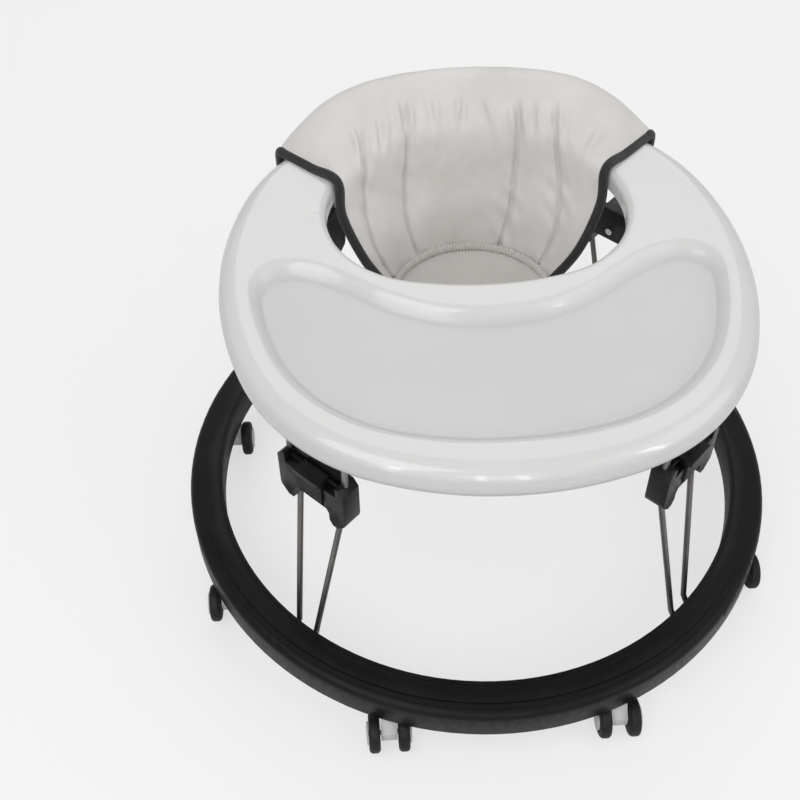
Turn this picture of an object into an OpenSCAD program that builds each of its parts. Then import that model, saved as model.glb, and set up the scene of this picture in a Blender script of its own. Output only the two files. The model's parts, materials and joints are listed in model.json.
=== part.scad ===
// Round baby walker. A base ring rolls on eight twin-wheel castors and carries four wire legs.
// Each leg ends in a head with two sockets. The tray table stands in them on four pairs of posts,
// so it slides up and down, and it carries the fabric seat.
// Millimetres, +Z up. The origin is on the floor under the centre, and the child faces -Y.

/* [Base ring] */
// Outer radius of the base ring
ring_r = 320; // [300:1:380]
// Width of the ring seen from above
ring_w = 37; // [35:1:48]
// Height of the ring
ring_h = 38; // [34:1:48]
// Wall of the ring
ring_wall = 3; // [2.5:0.1:4]

/* [Castors] */
// Number of castors, spread evenly
castor_count = 8; // [8:1:8]
// Radius of a wheel
wheel_r = 20; // [16:0.5:25]
// Width of a wheel
wheel_w = 11.5; // [9:0.5:13]
// Distance from the swivel axis back to the axle
castor_trail = 19; // [14:0.5:24]
// Half the thickness of the fork between the wheels
fork_half = 8; // [6:0.5:10]
// Radius of the swivel stem
stem_r = 4; // [3:0.5:5]
// Radius of the axle
axle_r = 2.5; // [2:0.25:3]

/* [Legs] */
// Radius of the wire and of the posts
wire_r = 3; // [2.5:0.25:4]
// Distance of the leg heads and posts from the centre
post_ring_r = 238; // [230:1:242]
// Half the distance between a leg's wires at the head
leg_top_half = 26.5; // [24:0.5:27]
// Half the distance between a leg's wires at the ring
leg_foot_half = 12; // [8:0.5:15]
// Half the distance between the two posts of a pair
post_half = 34.5; // [34:0.5:36]
// Height of the underside of the leg heads
head_z = 232; // [200:1:250]
// Height of a leg head
head_h = 60; // [58:1:66]
// Half the length of a leg head
head_half = 41; // [41:0.5:46]
// How far the table rises from its lowest step to its highest
table_travel = 30; // [20:1:30]

/* [Table] */
// Height of the rim's top when the table is on its lowest step
table_z = 375; // [360:1:410]
// Half the width of the table across its sides
table_half = 254; // [252:1:300]
// How much further the table reaches at its four corners
table_bulge = 11; // [9:0.5:14]
// How much smaller than the half width a corner's radius is
corner_inset = 55; // [50:1:60]
// Radius of the rolled rim
rim_r = 18; // [16:0.5:20]
// Wall of the table moulding
table_wall = 3; // [2.5:0.1:4]
// Depth of the tray
tray_depth = 12; // [8:0.5:14]
// Distance from the table's edge to the tray
tray_margin = 42; // [40:1:50]
// Half the width of the seat hole
hole_half = 150; // [140:1:155]
// Radius of the seat hole's sides
hole_side_r = 104; // [98:1:110]
// Radius of the seat hole's front and back
hole_front_r = 280; // [260:1:300]
// Position of the seat hole's centre behind the table's centre
hole_y = 82.5; // [78:0.5:84]
// Depth of the flange around the seat hole
hole_flange = 20; // [14:1:22]

/* [Seat] */
// Height of the back bolster above the rim
back_rise = 56; // [30:1:60]
// Half the angle that the seat back spans on the rim
back_half = 47; // [40:1:50]
// Depth of the seat's seam below the rim
seam_drop = 125; // [100:1:130]
// Thickness of the padded back where it hangs in the hole
back_pad = 6; // [4:0.5:8]
// Thickness of the sling under the child
sling_t = 4; // [3:0.5:6]
// Half the width of the sling between the child's legs
sling_half = 58; // [50:1:66]
// Radius of the edge binding
binding_r = 3.6; // [3:0.1:4]

/* [Hidden] */
$fn = 96;
fit = 0.06;        // radial clearance of everything that turns or slides in a bore
seat_fit = 0.04;   // radial clearance of wires and posts that are seated for good
screw_fit = 0.02;  // radial clearance of screws, pins and axles held in a bore
bend_swell = 0.08; // how much a wire's bends are thicker than the wire
clamp_fit = 0.15;  // room above and below the clamped wires
gap = 0.3;         // clearance between neighbours that only lie beside each other
soft_gap = 0.5;    // clearance between the fabric and the table

ring_in = ring_r - ring_w;
wheel_gap = 5;     // room between the wheels and the ring
ring_z = 2 * wheel_r + wheel_gap;
ring_top = ring_z + ring_h;
ring_roof = 8;     // thickness of the ring's roof at its highest
ring_mid = ring_r - ring_w / 2;
ring_step = 2.5;   // height of the step on the ring's face
ring_band = 6;     // width of the stepped band
ring_shoulder = 8; // radius of the outer shoulder
ring_inner_rise = 7;   // room under the inner wall for the wires

castor_step = 360 / castor_count;
wheel_in = fork_half + 1;
wheel_out = wheel_in + wheel_w;
cap_r = 0.58 * wheel_r;
cap_t = 1.5;
fork_plate_r = 11;
fork_plate_t = 2;
stem_len = ring_h - ring_roof - 4;

wire_z = ring_z + wire_r;          // height of the wires where they lie under the ring
foot_r = ring_in - 11;             // where the wires come down to the ring
foot_bar_r = ring_mid - 1.5;       // where the wires join under the ring
socket_z = head_z + 14;            // top of the leg's sockets in a head
post_z = head_z + 17;              // lower end of the posts on the lowest step
head_thick = 21;
head_web = 20;                     // height of the arch between the two sleeves
clamp_w = 40;
clamp_t = 4;
clamp_screw_r = 2;
clamp_screw_off = 9;

pin_r = 1.5;
pin_x = 5;                         // lever pin's place outside the head's middle
pin_z = head_z + 27;
pin_len = 44;
lever_half = 15.5;
lever_top = head_z + 56;
lever_out = 13;
tongue_z = head_z + 51;
tongue_end = post_half - wire_r - gap;
notch_depth = 1.2;
notch_h = 5;

corner_r = table_half - corner_inset;
corner_e = (table_bulge + corner_inset) / sqrt(2);
side_g = (2 * pow(corner_e, 2) - pow(corner_inset, 2)) / (2 * (corner_inset - corner_e));
side_r = table_half + side_g;
side_ang = atan2(corner_e, corner_e + side_g);
side_lap = 1;                      // how far each corner's arc runs on beside the side's arc, in degrees
deck_rise = 0.2;                   // how far the deck stands above the rolled rim
deck_t = table_wall + 0.7;
deck_z = table_z + deck_rise;
deck_under = deck_z - deck_t;
tray_arc_r = 178;
tray_arc_y = 112;
tray_back_y = 14;
hole_c = hole_half - hole_side_r;
hole_lens = sqrt(pow(hole_front_r - hole_side_r, 2) - pow(hole_c, 2));
lens_lap = 4;                      // how far the side arcs run on beside the front and back arcs
hole_lens_x = hole_front_r * hole_c / (hole_front_r - hole_side_r) - lens_lap;
hole_front = hole_y + hole_lens - hole_front_r;

bar_z = deck_under - 1 - wire_r;   // height of the bar that joins a pair of posts
plate_t = 4;
plate_z = bar_z - wire_r - plate_t;
plate_half_x = 9;
plate_screw_y = post_half + 9.5;
plate_half_y = plate_screw_y + 6;
screw_r = 2;
boss_r = 4;

seam_z = table_z - seam_drop;
back_in = 186;                     // radius at which the back's face passes the hole's edge

SIDES = ["front_left", "front_right", "rear_right", "rear_left"];
LEG_ANGLES = [225, 315, 45, 135];

function castor_names(i) = [str("castor_", i, "_fork"), str("castor_", i, "_axle"),
    str("castor_", i, "_wheel_left"), str("castor_", i, "_wheel_right")];

// ---------- helpers ----------

// Places something at an angle and a distance from the centre, its own X pointing outwards.
module out_at(angle, r) {
    rotate([0, 0, angle]) translate([r, 0, 0]) children();
}

// A round rod from p to q.
module rod(p, q, r) {
    d = q - p;
    translate(p) rotate([0, acos(d[2] / norm(d)), atan2(d[1], d[0])]) cylinder(h = norm(d), r = r);
}

// The table's outline: four wide side arcs joined by four tighter corner arcs.
module outline(inset) {
    far = 2 * side_r;
    for (a = [0:90:270]) rotate(a) {
        translate([corner_e, corner_e]) circle(corner_r - inset);
        intersection() {
            translate([-side_g, 0]) circle(side_r - inset);
            polygon([[-side_g, 0], [far, -(far + side_g) * tan(side_ang - side_lap)],
                     [far, (far + side_g) * tan(side_ang - side_lap)]]);
        }
    }
}

// Sweeps a section, drawn with X = 0 at the edge, along the same outline.
module sweep_outline() {
    for (a = [0:90:270]) rotate([0, 0, a]) {
        translate([-side_g, 0, 0]) rotate([0, 0, -side_ang])
            rotate_extrude(angle = 2 * side_ang) translate([side_r, 0]) children();
        translate([corner_e, corner_e, 0]) rotate([0, 0, side_ang])
            rotate_extrude(angle = 90 - 2 * side_ang) translate([corner_r, 0]) children();
    }
}

// The seat hole: two side arcs joined by flatter arcs at the front and the back.
module hole(grow) {
    for (s = [-1, 1]) translate([s * hole_c, hole_y]) circle(hole_side_r + grow);
    translate([-hole_c, hole_y - hole_side_r]) square([2 * hole_c, 2 * hole_side_r]);
    intersection() {
        translate([0, hole_y + hole_lens]) circle(hole_front_r + grow);
        translate([0, hole_y - hole_lens]) circle(hole_front_r + grow);
        translate([-hole_lens_x, hole_y - hole_front_r]) square([2 * hole_lens_x, 2 * hole_front_r]);
    }
}

// The crescent tray in front of the seat hole.
module tray(inset) {
    difference() {
        intersection() {
            outline(tray_margin + inset);
            translate([-table_half, -2 * table_half]) square([2 * table_half, 2 * table_half + tray_back_y - inset]);
        }
        translate([0, tray_arc_y]) circle(tray_arc_r + inset);
    }
}

// Distance from the centre to the table's edge in a direction.
function edge_t(a) = abs(((a + 45) % 90) - 45);
edge_t_join = atan2(side_r * sin(side_ang), side_r * cos(side_ang) - side_g);
function edge_r(a) = edge_t(a) < edge_t_join
    ? -side_g * cos(edge_t(a)) + sqrt(pow(side_r, 2) - pow(side_g * sin(edge_t(a)), 2))
    : corner_e * sqrt(2) * cos(45 - edge_t(a))
      + sqrt(pow(corner_r, 2) - 2 * pow(corner_e * sin(45 - edge_t(a)), 2));

// A closed sheet from two grids of points, upper and lower, each a list of rows.
module sheet(upper, lower) {
    m = len(upper);
    n = len(upper[0]);
    pts = concat([for (row = upper) each row], [for (row = lower) each row]);
    s = m * n;
    faces = concat(
        [for (i = [0:m - 2], j = [0:n - 2]) each
            [[i * n + j, i * n + j + 1, (i + 1) * n + j + 1], [i * n + j, (i + 1) * n + j + 1, (i + 1) * n + j]]],
        [for (i = [0:m - 2], j = [0:n - 2]) each
            [[s + i * n + j, s + (i + 1) * n + j + 1, s + i * n + j + 1],
             [s + i * n + j, s + (i + 1) * n + j, s + (i + 1) * n + j + 1]]],
        [for (j = [0:n - 2], e = [0, m - 1]) each e == 0
            ? [[j, s + j, s + j + 1], [j, s + j + 1, j + 1]]
            : [[e * n + j, e * n + j + 1, s + e * n + j + 1], [e * n + j, s + e * n + j + 1, s + e * n + j]]],
        [for (i = [0:m - 2], e = [0, n - 1]) each e == 0
            ? [[i * n, (i + 1) * n, s + (i + 1) * n], [i * n, s + (i + 1) * n, s + i * n]]
            : [[i * n + e, s + i * n + e, s + (i + 1) * n + e], [i * n + e, s + (i + 1) * n + e, (i + 1) * n + e]]]
    );
    polyhedron(points = pts, faces = faces, convexity = 8);
}

// A round tube along a path, with eight sides. side is a vector that no stretch runs along.
module tube(path, r, side) {
    n = len(path);
    k = 8;
    rings = [for (i = [0:n - 1])
        let (d = path[min(i + 1, n - 1)] - path[max(i - 1, 0)],
             u = cross(d, side) / norm(cross(d, side)),
             v = cross(d, u) / norm(cross(d, u)))
        [for (j = [0:k - 1]) path[i] + r * (cos(360 * j / k) * u + sin(360 * j / k) * v)]];
    faces = concat(
        [for (i = [0:n - 2], j = [0:k - 1]) each
            [[i * k + j, (i + 1) * k + (j + 1) % k, i * k + (j + 1) % k],
             [i * k + j, (i + 1) * k + j, (i + 1) * k + (j + 1) % k]]],
        [[for (j = [0:k - 1]) j], [for (j = [0:k - 1]) (n - 1) * k + k - 1 - j]]
    );
    polyhedron(points = [for (ring = rings) each ring], faces = faces, convexity = 8);
}

// ---------- base ----------

module ring_section() {
    hollow_top = ring_top - ring_roof;
    band_out = ring_r - ring_shoulder;
    difference() {
        union() {
            translate([ring_in, ring_z + ring_inner_rise])
                square([band_out - ring_band - ring_in, ring_h - ring_inner_rise]);
            translate([ring_in, ring_z + ring_inner_rise])
                square([band_out - ring_in, ring_h - ring_inner_rise - ring_step]);
            translate([band_out, ring_z]) square([ring_shoulder, ring_h - ring_step - 1 - ring_shoulder]);
            translate([band_out - ring_band, ring_z + ring_inner_rise])
                square([ring_band + 1, ring_h - ring_inner_rise - ring_step - 1]);
            translate([band_out, ring_top - ring_step - 1 - ring_shoulder]) circle(ring_shoulder);
        }
        translate([ring_in + ring_wall, ring_z - 1]) square([ring_w - 2 * ring_wall, hollow_top - ring_z + 1]);
        translate([ring_in + 4, ring_top - 0.8]) square([1.2, 2]);
    }
}

module base_ring() {
    color("#161618")
    difference() {
        union() {
            rotate_extrude($fn = 180) ring_section();
            for (i = [0:castor_count - 1]) out_at(castor_step * (i + 0.5), ring_mid)
                translate([0, 0, ring_z]) cylinder(h = ring_h - ring_roof + 1, r = stem_r + 5);
            for (a = LEG_ANGLES) out_at(a, ring_mid)
                translate([-ring_w / 2 + ring_wall - 0.5, -clamp_w / 2, wire_z + wire_r + clamp_fit])
                    cube([ring_w - 2 * ring_wall + 1, clamp_w, ring_top - ring_roof + 1 - wire_z - wire_r]);
        }
        for (i = [0:castor_count - 1]) out_at(castor_step * (i + 0.5), ring_mid)
            translate([0, 0, ring_z - 1]) cylinder(h = stem_len + 3, r = stem_r + fit);
        for (a = LEG_ANGLES, s = [-1, 1]) out_at(a, foot_bar_r + s * clamp_screw_off)
            translate([0, 0, ring_z - 1]) cylinder(h = 22, r = clamp_screw_r + screw_fit);
    }
}

// One wire of a leg, from its end in the head's socket down to the bar under the ring.
// The line through its mouth in the head and its foot sets the slope of the long stretch.
function wire_mouth(s) = [post_ring_r, s * leg_top_half, head_z];
function wire_foot(s) = [foot_r, s * leg_foot_half, ring_z + 14];
function wire_end(s) = wire_mouth(s)
    + (wire_mouth(s) - wire_foot(s)) * (socket_z - head_z) / (head_z - wire_foot(s)[2]);
function wire_points(s) = [wire_end(s), wire_foot(s), [foot_r + 6, s * leg_foot_half, wire_z],
    [foot_bar_r, s * leg_foot_half, wire_z]];

module leg(angle) {
    color("#2b2b2d") out_at(angle, 0) {
        for (s = [-1, 1]) {
            p = wire_points(s);
            for (k = [0:2]) rod(p[k], p[k + 1], wire_r);
            for (k = [1:3]) translate(p[k]) sphere(wire_r + bend_swell);
        }
        rod(wire_points(-1)[3], wire_points(1)[3], wire_r);
    }
}

module leg_clamps() {
    color("#1c1c1e") for (a = LEG_ANGLES) out_at(a, foot_bar_r) difference() {
        translate([-14.5, -clamp_w / 2, ring_z - clamp_t - clamp_fit]) cube([29, clamp_w, clamp_t]);
        for (s = [-1, 1]) translate([s * clamp_screw_off, 0, ring_z - clamp_t - 1])
            cylinder(h = clamp_t + 2, r = clamp_screw_r + screw_fit);
    }
}

module clamp_screws() {
    color("silver") for (a = LEG_ANGLES, s = [-1, 1]) out_at(a, foot_bar_r + s * clamp_screw_off) {
        translate([0, 0, ring_z - clamp_t - 2.4]) cylinder(h = 2.2, r = 3.6);
        translate([0, 0, ring_z - clamp_t - 2.4]) cylinder(h = clamp_t + 20, r = clamp_screw_r);
    }
}

// ---------- leg heads and their latches ----------

module head_outline() {
    arch = head_web;
    inner = leg_top_half - 5;
    half = [[inner - 3, arch], [inner, arch - 5], [inner, 6], [inner + 4, 0], [inner + 10, 0],
            [head_half - 1, 9], [head_half, 14], [head_half, head_h - 7], [head_half - 6, head_h]];
    n = len(half) - 1;
    polygon(concat(half, [for (k = [0:n]) [-half[n - k][0], half[n - k][1]]]));
}

module head(angle) {
    color("#141416") out_at(angle, post_ring_r) difference() {
        translate([-head_thick / 2, 0, head_z]) rotate([90, 0, 90]) linear_extrude(head_thick) head_outline();
        // pocket and side slots of the lever
        translate([-1, -lever_half - gap, head_z + 21]) cube([head_thick, 2 * (lever_half + gap), head_h]);
        translate([-2, -tongue_end - gap, tongue_z - 4]) cube([head_thick, 2 * (tongue_end + gap), head_h]);
        // sockets of the posts, from above, and of the leg's wires, from below
        for (s = [-1, 1]) {
            translate([0, s * post_half, post_z - gap]) cylinder(h = head_h, r = wire_r + fit);
            translate([-post_ring_r, 0, 0]) rod(wire_foot(s), wire_end(s) + [0, 0, 0.05], wire_r + seat_fit);
        }
        translate([pin_x, -pin_len / 2 - 0.2, pin_z]) rotate([-90, 0, 0]) cylinder(h = pin_len + 0.4, r = pin_r + screw_fit);
        translate([-head_thick / 2 - 1, 0, head_z + 32]) rotate([0, 90, 0]) cylinder(h = 8, r = screw_r + screw_fit);
    }
}

module head_screws() {
    color("silver") for (a = LEG_ANGLES) out_at(a, post_ring_r) translate([-head_thick / 2 - 2.4, 0, head_z + 32]) {
        rotate([0, 90, 0]) cylinder(h = 2.35, r = 4);
        rotate([0, 90, 0]) cylinder(h = 9, r = screw_r);
    }
}

module lever_pins() {
    color("silver") for (a = LEG_ANGLES) out_at(a, post_ring_r)
        translate([pin_x, -pin_len / 2, pin_z]) rotate([-90, 0, 0]) cylinder(h = pin_len, r = pin_r);
}

module lever(angle) {
    color("#1b1b22") out_at(angle, post_ring_r) difference() {
        union() {
            translate([pin_x, -lever_half, pin_z]) rotate([-90, 0, 0]) cylinder(h = 2 * lever_half, r = 5);
            translate([0, -lever_half, pin_z]) cube([lever_out, 2 * lever_half, lever_top - pin_z]);
            translate([lever_out - 1, -lever_half, lever_top - 5]) cube([4.5, 2 * lever_half, 5]);
            translate([0, -tongue_end, tongue_z - 2]) cube([3, 2 * tongue_end, 4]);
        }
        translate([pin_x, -lever_half - 1, pin_z]) rotate([-90, 0, 0]) cylinder(h = 2 * lever_half + 2, r = pin_r + fit);
    }
}

// ---------- table ----------

module table_top() {
    color("#f2f2f1") {
        sweep_outline() intersection() {
            translate([-rim_r, table_z - rim_r]) difference() {
                circle(rim_r);
                circle(rim_r - table_wall);
            }
            translate([-rim_r, table_z - 2 * rim_r]) square([rim_r, 2 * rim_r]);
        }
        translate([0, 0, deck_under]) linear_extrude(deck_t) difference() {
            outline(rim_r - 1);
            tray(0);
            hole(0);
        }
        translate([0, 0, deck_z - tray_depth - table_wall]) {
            linear_extrude(table_wall) tray(-table_wall);
            linear_extrude(tray_depth + table_wall) difference() {
                tray(-table_wall);
                tray(0);
            }
        }
        translate([0, 0, deck_z - hole_flange]) linear_extrude(hole_flange) difference() {
            hole(table_wall);
            hole(0);
        }
        for (a = LEG_ANGLES, s = [-1, 1]) out_at(a, post_ring_r) translate([0, s * plate_screw_y, plate_z + plate_t])
            difference() {
                cylinder(h = deck_under + 0.5 - plate_z - plate_t, r = boss_r);
                translate([0, 0, -1]) cylinder(h = 7, r = screw_r + screw_fit);
            }
    }
}

module post(angle) {
    color("#3a3736") out_at(angle, post_ring_r) difference() {
        union() {
            for (s = [-1, 1]) {
                translate([0, s * post_half, post_z]) cylinder(h = bar_z - post_z, r = wire_r);
                translate([0, s * post_half, bar_z]) sphere(wire_r);
            }
            translate([0, -post_half, bar_z]) rotate([-90, 0, 0]) cylinder(h = 2 * post_half, r = wire_r);
        }
        for (s = [-1, 1], k = [0:2])
            translate([-wire_r, s * (post_half - wire_r) - notch_depth, tongue_z - notch_h / 2 - k * table_travel / 2])
                cube([2 * wire_r, 2 * notch_depth, notch_h]);
    }
}

module post_plates() {
    color("#1c1c1e") for (a = LEG_ANGLES) out_at(a, post_ring_r) difference() {
        translate([-plate_half_x, -plate_half_y, plate_z]) cube([2 * plate_half_x, 2 * plate_half_y, plate_t]);
        for (s = [-1, 1]) {
            translate([0, s * post_half, plate_z - 1]) cylinder(h = plate_t + 2, r = wire_r + seat_fit);
            translate([0, s * plate_screw_y, plate_z - 1]) cylinder(h = plate_t + 2, r = screw_r + screw_fit);
        }
    }
}

module plate_screws() {
    color("silver") for (a = LEG_ANGLES, s = [-1, 1]) out_at(a, post_ring_r)
        translate([0, s * plate_screw_y, plate_z - 2.25]) {
            cylinder(h = 2.2, r = 3.6);
            cylinder(h = plate_t + 7, r = screw_r);
        }
}

// ---------- castors ----------

// Places something at a castor's swivel axis, unturned: every castor trails towards -Y.
module at_castor(i) {
    a = 180 + castor_step * (i - 0.5);
    translate([ring_mid * cos(a), ring_mid * sin(a), 0]) children();
}

module castor_fork(i) {
    boss = wheel_r * 0.4;
    color("#dcdcda") at_castor(i) difference() {
        union() {
            translate([0, 0, ring_z - gap - 0.5]) cylinder(h = stem_len, r = stem_r);
            translate([0, 0, ring_z - gap - fork_plate_t]) cylinder(h = fork_plate_t, r = fork_plate_r);
            translate([-fork_half, 0, 0]) rotate([90, 0, 90]) linear_extrude(2 * fork_half) polygon([
                [-fork_plate_r * 0.7, ring_z - gap - 1], [fork_plate_r * 0.7, ring_z - gap - 1],
                [fork_plate_r * 0.6, ring_z - 8], [-castor_trail + boss * 0.6, wheel_r - boss * 0.8],
                [-castor_trail - boss, wheel_r], [-castor_trail - boss * 0.9, wheel_r + boss]]);
            translate([-fork_half, -castor_trail, wheel_r]) rotate([0, 90, 0]) cylinder(h = 2 * fork_half, r = boss);
        }
        translate([-fork_half - 1, -castor_trail, wheel_r]) rotate([0, 90, 0])
            cylinder(h = 2 * fork_half + 2, r = axle_r + screw_fit);
    }
}

module castor_axle(i) {
    color("#e6e6e4") at_castor(i) translate([0, -castor_trail, wheel_r]) rotate([0, 90, 0]) {
        translate([0, 0, -wheel_out - gap]) cylinder(h = 2 * (wheel_out + gap), r = axle_r);
        for (s = [0, 1]) mirror([0, 0, s]) translate([0, 0, wheel_out + gap]) {
            cylinder(h = cap_t, r = cap_r);
            translate([0, 0, cap_t - 0.5]) cylinder(h = 1, r = cap_r * 0.6);
        }
    }
}

module castor_wheel(i, side) {
    edge = 4;
    color("#121213") at_castor(i) translate([0, -castor_trail, wheel_r]) rotate([0, 90, 0]) mirror([0, 0, side < 0 ? 1 : 0])
        rotate_extrude() difference() {
            union() {
                translate([axle_r + fit, wheel_in]) square([wheel_r - edge - axle_r - fit, wheel_w]);
                translate([wheel_r - edge - 0.01, wheel_in + edge]) square([edge + 0.01, wheel_w - 2 * edge]);
                for (z = [wheel_in + edge, wheel_out - edge]) translate([wheel_r - edge, z]) circle(edge);
            }
            translate([cap_r + 0.8, wheel_out - 1]) square([1.2, 2]);
        }
}

// ---------- seat ----------

// Rise of the back's bolster above the rim, falling to the bare cloth at the two ends.
function bolster(u) = 4 + (back_rise - 4) * (1 - pow(abs(u), 5));

// The seat back's face and its lining, from the hem outside the rim, over the bolster and down
// into the hole to the seam: each entry is [face radius, height, lining radius, lining height, half angle].
function back_section(u) = let (e = edge_r(90 + back_half * u), h = bolster(u), c = soft_gap, t = table_z) [
    [e + c + 4, t - 34, e + c, t - 34, back_half],
    [e + c + 5.5, t - 14, e + c, t - 14, back_half],
    [e + c + 3.5, t + 0.45 * h, e + c, t + c, back_half],
    [e - 8, t + 0.9 * h, e - 8, t + c, back_half],
    [e - 26, t + h, e - 26, t + c, back_half],
    [e - 46, t + 0.86 * h, e - 46, t + c, back_half],
    [back_in - 1, t + 0.4 * h, back_in + 3, t + c, back_half],
    [180 - 6 * u * u, t - 35, 180 - 6 * u * u + back_pad, t - 35, back_half + 2],
    [172 - 26 * u * u, t - 80, 172 - 26 * u * u + back_pad, t - 80, back_half + 2],
    [162 - 34 * u * u, seam_z, 162 - 34 * u * u + back_pad, seam_z, back_half - 6]];
function spot(r, a, z) = [r * cos(a), r * sin(a), z];

back_cols = 28;
function back_u(j) = -1 + 2 * j / back_cols;

module seat_back() {
    face = [for (k = [0:9]) [for (j = [0:back_cols]) let (p = back_section(back_u(j))[k])
        spot(p[0], 90 + p[4] * back_u(j), p[1])]];
    lining = [for (k = [0:9]) [for (j = [0:back_cols]) let (p = back_section(back_u(j))[k])
        spot(p[2], 90 + p[4] * back_u(j), p[3])]];
    color("#e9e5df") sheet(face, lining);
}

// The sling: from the seam under the back, forwards and up to the clips under the table's front.
sling_rows = 16;
sling_cols = 16;
sling_front_y = hole_front - 16;
sling_front_z = deck_under - 24;
function bez(a, b, c, d, t) = a * pow(1 - t, 3) + 3 * b * pow(1 - t, 2) * t + 3 * c * (1 - t) * t * t + d * pow(t, 3);
function sling_point(t, u) =
    let (r = 162 - 34 * u * u + back_pad + 1, a = 90 - (back_half - 6) * u,
         x0 = r * cos(a), y0 = r * sin(a), z0 = seam_z - 0.4)
    [bez(x0, 0.75 * x0, sling_half * u, sling_half * u, t),
     bez(y0, y0 - 50, sling_front_y + 4, sling_front_y, t),
     bez(z0, z0 - 28, z0 - 35, sling_front_z, t) + 10 * u * u * sin(180 * t)];

module seat_sling() {
    upper = [for (i = [0:sling_rows]) [for (j = [0:sling_cols])
        sling_point(i / sling_rows, -1 + 2 * j / sling_cols)]];
    lower = [for (row = upper) [for (p = row) p - [0, 0, sling_t]]];
    color("#e4dfd6") sheet(lower, upper);
}

module seat_binding() {
    off = binding_r + gap;
    color("#101012") for (s = [-1, 1]) {
        back = [for (k = [0:8]) let (p = back_section(1)[k],
            r = k < 2 ? p[0] - 0.2 : k == 2 ? p[0] + 0.5 : k == 6 ? back_in - 2 : (p[0] + p[2]) / 2,
            z = k < 2 ? p[1] : k > 6 ? p[1] : table_z + soft_gap + binding_r + (k == 2 ? 1 : 0),
            a = 90 + s * (p[4] + asin(off / r)))
            spot(r, a, z)];
        front = [for (i = [1:sling_rows]) let (p = sling_point(i / sling_rows, -s))
            p + [s > 0 ? -off : off, 0, -sling_t / 2]];
        tube(back, binding_r, [s * sin(47), cos(47), 0]);
        tube(front, binding_r, [1, 0, 0]);
    }
}

module seat_clips() {
    color("#1c1c1e") for (x = [-0.6, 0, 0.6] * sling_half)
        translate([x - 8, sling_front_y - 2, sling_front_z + gap])
            cube([16, 4, deck_under - gap - sling_front_z - gap]);
}

// ---------- output ----------

base_ring();
leg_clamps();
clamp_screws();
head_screws();
lever_pins();
table_top();
post_plates();
plate_screws();
seat_back();
seat_sling();
seat_binding();
seat_clips();
for (k = [0:3]) {
    leg(LEG_ANGLES[k]);
    head(LEG_ANGLES[k]);
    lever(LEG_ANGLES[k]);
    post(LEG_ANGLES[k]);
}
for (i = [1:castor_count]) {
    castor_fork(i);
    castor_axle(i);
    castor_wheel(i, -1);
    castor_wheel(i, 1);
}
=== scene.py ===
import json
import math

import bpy
from mathutils import Matrix, Vector, noise


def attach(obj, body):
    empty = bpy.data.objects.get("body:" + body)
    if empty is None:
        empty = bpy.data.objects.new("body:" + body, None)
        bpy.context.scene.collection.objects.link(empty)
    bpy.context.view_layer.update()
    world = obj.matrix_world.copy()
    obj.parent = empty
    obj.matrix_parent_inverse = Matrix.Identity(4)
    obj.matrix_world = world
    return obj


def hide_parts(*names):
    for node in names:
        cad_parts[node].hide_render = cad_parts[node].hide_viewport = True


MM = 0.001
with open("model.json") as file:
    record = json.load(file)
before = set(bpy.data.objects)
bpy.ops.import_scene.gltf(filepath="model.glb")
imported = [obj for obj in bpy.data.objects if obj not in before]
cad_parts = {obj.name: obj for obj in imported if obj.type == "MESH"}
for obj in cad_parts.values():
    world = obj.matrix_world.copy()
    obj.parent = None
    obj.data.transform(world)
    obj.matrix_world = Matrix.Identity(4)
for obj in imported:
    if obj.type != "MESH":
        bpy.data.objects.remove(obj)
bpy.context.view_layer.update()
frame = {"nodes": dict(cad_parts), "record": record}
nodes = frame["nodes"]

# ---------- camera ----------

EYE = Vector((-0.130, -0.846, 1.137))
YAW = math.radians(3.15)      # turned towards +X
PITCH = math.radians(48.4)    # looking down
ROLL = math.radians(-0.8)
LENS = 54.0
SENSOR = 36.0


def add_camera():
    ahead = Vector((math.sin(YAW) * math.cos(PITCH), math.cos(YAW) * math.cos(PITCH), -math.sin(PITCH)))
    right = ahead.cross(Vector((0, 0, 1))).normalized()
    up = right.cross(ahead)
    side = right * math.cos(ROLL) + up * math.sin(ROLL)
    top = side.cross(ahead)
    turn = Matrix((side, top, -ahead)).transposed().to_4x4()
    data = bpy.data.cameras.new("camera")
    data.lens = LENS
    data.sensor_width = SENSOR
    camera = bpy.data.objects.new("camera", data)
    camera.matrix_world = Matrix.Translation(EYE) @ turn
    bpy.context.scene.collection.objects.link(camera)
    bpy.context.scene.camera = camera


add_camera()

# ---------- sizes shared with the frame, in millimetres ----------

TABLE_TOP = 375.0       # the rim's top with the table on its lowest step
RIM_R = 18.0            # radius of the rolled rim
WALL = 3.0              # thickness of the table's shell
TRAY_FLOOR = 363.2
TABLE_HALF = 254.0      # half the table's width across its sides
TABLE_BULGE = 11.0      # how much further it reaches at its four corners
CORNER_INSET = 55.0     # how much smaller than the half width a corner's radius is
CORNER_R = TABLE_HALF - CORNER_INSET
CORNER_E = (TABLE_BULGE + CORNER_INSET) / math.sqrt(2)
SIDE_G = (2 * CORNER_E ** 2 - CORNER_INSET ** 2) / (2 * (CORNER_INSET - CORNER_E))
SIDE_R = TABLE_HALF + SIDE_G
SIDE_ANG = math.degrees(math.atan2(CORNER_E, CORNER_E + SIDE_G))
HOLE_Y = 82.5           # the seat hole's middle
HOLE_SIDE_R = 104.0
HOLE_FRONT_R = 280.0    # radius of the hole's long front and rear arcs
HOLE_C = 46.0           # how far the side arcs' centres lie from the middle
HOLE_LENS = math.sqrt((HOLE_FRONT_R - HOLE_SIDE_R) ** 2 - HOLE_C ** 2)
HOLE_FRONT = HOLE_Y + HOLE_LENS - HOLE_FRONT_R
BACK_RISE = 56.0        # how far the seat back stands above the rim
SOFT_GAP = 0.5          # between the soft pieces and the table
POST_RING_R = 238.0     # how far the table's fittings lie from the middle
CORNERS = (45, 135, 225, 315)
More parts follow.
